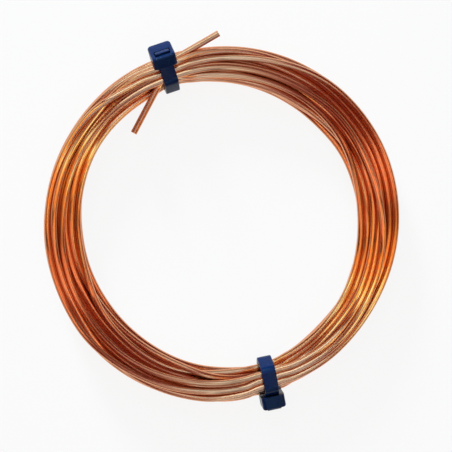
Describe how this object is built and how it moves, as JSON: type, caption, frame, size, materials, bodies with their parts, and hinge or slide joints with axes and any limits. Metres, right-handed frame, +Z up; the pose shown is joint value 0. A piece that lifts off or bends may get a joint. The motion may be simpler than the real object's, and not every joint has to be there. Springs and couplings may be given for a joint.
{
  "type": "copper wire coil",
  "caption": "Coil of bare copper wire held by two nylon cable ties, with both wire ends free, lying flat.",
  "frame": {"origin": "on the coil's axis, at the level of the floor that the two straps rest on, which is the middle of the footprint", "axes": "+Z up along the coil's axis; +Y towards the side where the first tie and both wire ends are"},
  "size_m": [0.072, 0.0772, 0.0081],
  "materials": {
    "copper": "bare drawn copper, bright",
    "blue_nylon": "moulded nylon, half gloss"
  },
  "bodies": {
    "root": {"wire": "copper", "tie_1": "blue_nylon", "tie_2": "blue_nylon"}
  },
  "joints": []
}
